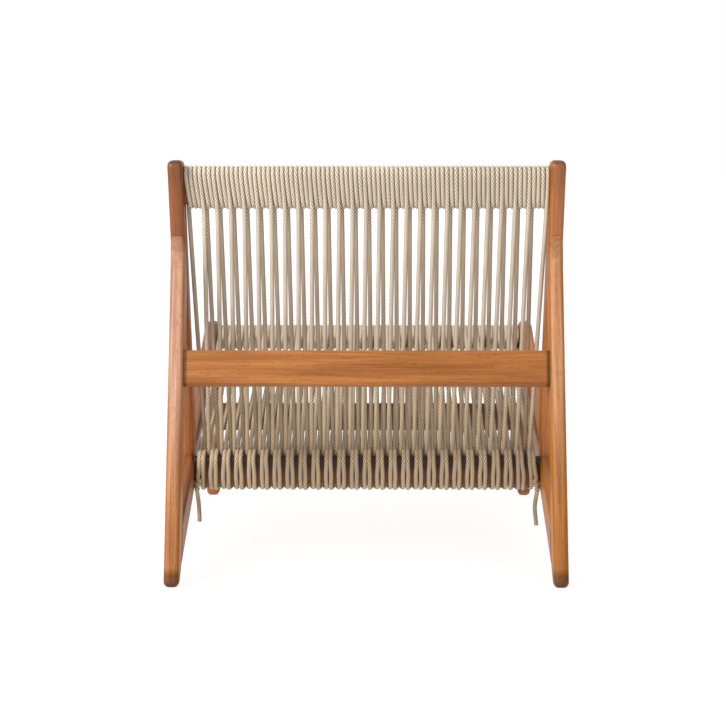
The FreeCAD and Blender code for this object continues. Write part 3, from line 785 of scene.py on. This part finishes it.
def hang_soft_box(scene, settings, floor):
    """A soft box that lights the chair alone, as in a cut-out picture, so the floor stays evenly white."""
    light = bpy.data.lights.new("soft_box", "AREA")
    light.energy = settings.key
    light.shape = "DISK"
    light.size = SOFT_BOX_SIZE
    lamp = bpy.data.objects.new("soft_box", light)
    lamp.location = SOFT_BOX_PLACE
    aim = Vector(SOFT_BOX_AIM) - lamp.location
    lamp.rotation_euler = aim.to_track_quat("-Z", "Y").to_euler()
    scene.collection.objects.link(lamp)
    unlit = bpy.data.collections.new("unlit_by_soft_box")
    unlit.objects.link(floor)
    unlit.collection_objects[0].light_linking.link_state = "EXCLUDE"
    lamp.light_linking.receiver_collection = unlit


def place_camera(scene, settings):
    camera = bpy.data.cameras.new("photo_view")
    camera.lens = settings.lens
    camera.sensor_width = SENSOR_WIDTH
    holder = bpy.data.objects.new("photo_view", camera)
    holder.location = settings.place
    holder.rotation_euler = settings.turn
    scene.collection.objects.link(holder)
    scene.camera = holder


class CHAIR_OT_wood_frame(Operator):
    """Gives every plank and rail its oiled hardwood, with the grain along the piece"""
    bl_idname = "chair.wood_frame"
    bl_label = "Wood Frame"

    def execute(self, context):
        settings = context.scene.chair_hardwood
        for seed, (node, finish) in enumerate(WOOD_PIECES.items()):
            dress(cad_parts[node], oiled_hardwood("oiled_hardwood_" + node, settings, finish, seed + 1))
        return {"FINISHED"}


class CHAIR_OT_dowels(Operator):
    """Gives the hidden dowels their plain beech"""
    bl_idname = "chair.dowels"
    bl_label = "Dowels"

    def execute(self, context):
        beech = plain_beech("turned_beech")
        for joint in DOWELS:
            dress(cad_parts[joint + "_dowels"], beech)
        return {"FINISHED"}


class CHAIR_OT_back_rope(Operator):
    """Strings the back between the top rail and the lower rail"""
    bl_idname = "chair.back_rope"
    bl_label = "Back Rope"

    def execute(self, context):
        settings = context.scene.chair_rope
        weave = Weave(settings.diameter)
        lines = [smooth_line(weave.back_loop(index)) for index in range(BACK_LOOPS)]
        piece = rope_piece("strung_back", lines, weave.radius, rope_material(settings), False)
        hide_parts("back_rope")
        return {"FINISHED"}


class CHAIR_OT_seat_rope(Operator):
    """Strings the seat between the lower rail and the front rail"""
    bl_idname = "chair.seat_rope"
    bl_label = "Seat Rope"

    def execute(self, context):
        settings = context.scene.chair_rope
        weave = Weave(settings.diameter * SLACK_SHARE)
        lines = [smooth_line(weave.seat_loop(index)) for index in range(SEAT_LOOPS)]
        piece = rope_piece("strung_seat", lines, weave.radius, rope_material(settings), False)
        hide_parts("seat_rope", "lower_rail_loops")
        return {"FINISHED"}


class CHAIR_OT_rope_ends(Operator):
    """Ties the knot at each end of the rope and hangs its tail below it"""
    bl_idname = "chair.rope_ends"
    bl_label = "Knots and Tails"

    def execute(self, context):
        settings = context.scene.chair_rope
        material = rope_material(settings)
        weave = Weave(settings.diameter)
        for side, sign in (("left", -1), ("right", 1)):
            coil = [smooth_line(weave.knot_route(sign))]
            knot = rope_piece(side + "_end_knot", coil, weave.radius * KNOT_ROPE_SHARE, material, True)
            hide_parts(side + "_rope_knot")
            line = smooth_line(weave.tail_route(side, sign))
            tail = rope_piece(side + "_free_tail", [line], weave.radius, material, True)
            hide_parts(side + "_rope_tail")
        return {"FINISHED"}


class CHAIR_OT_stage(Operator):
    """Sets up the pale floor, the soft light and the camera"""
    bl_idname = "chair.stage"
    bl_label = "Stage"

    def execute(self, context):
        scene = context.scene
        settings = scene.chair_stage
        scene.view_settings.view_transform = "Standard"
        floor = lay_floor(scene, settings)
        light_room(scene, settings)
        hang_soft_box(scene, settings, floor)
        place_camera(scene, settings)
        return {"FINISHED"}


class CHAIR_PT_panel(Panel):
    bl_idname = "CHAIR_PT_panel"
    bl_label = "Rope Lounge Chair"
    bl_space_type = "VIEW_3D"
    bl_region_type = "UI"
    bl_category = "Chair"

    def draw(self, context):
        for operator in OPERATORS:
            self.layout.operator(operator.bl_idname)
        for group in ("chair_hardwood", "chair_rope", "chair_stage"):
            box = self.layout.box()
            settings = getattr(context.scene, group)
            for name in settings.__annotations__:
                box.prop(settings, name)


OPERATORS = (CHAIR_OT_stage, CHAIR_OT_rope_ends, CHAIR_OT_wood_frame, CHAIR_OT_dowels, CHAIR_OT_back_rope,
             CHAIR_OT_seat_rope)
CLASSES = (HardwoodSettings, RopeSettings, StageSettings) + OPERATORS + (CHAIR_PT_panel,)


def register():
    for item in CLASSES:
        bpy.utils.register_class(item)
    bpy.types.Scene.chair_hardwood = PointerProperty(type=HardwoodSettings)
    bpy.types.Scene.chair_rope = PointerProperty(type=RopeSettings)
    bpy.types.Scene.chair_stage = PointerProperty(type=StageSettings)


def unregister():
    for name in ("chair_hardwood", "chair_rope", "chair_stage"):
        delattr(bpy.types.Scene, name)
    for item in reversed(CLASSES):
        bpy.utils.unregister_class(item)


def main():
    register()
    bpy.ops.chair.stage()
    bpy.ops.chair.rope_ends()
    bpy.ops.chair.wood_frame()
    bpy.ops.chair.dowels()
    bpy.ops.chair.back_rope()
    bpy.ops.chair.seat_rope()


if __name__ == "__main__":
    main()
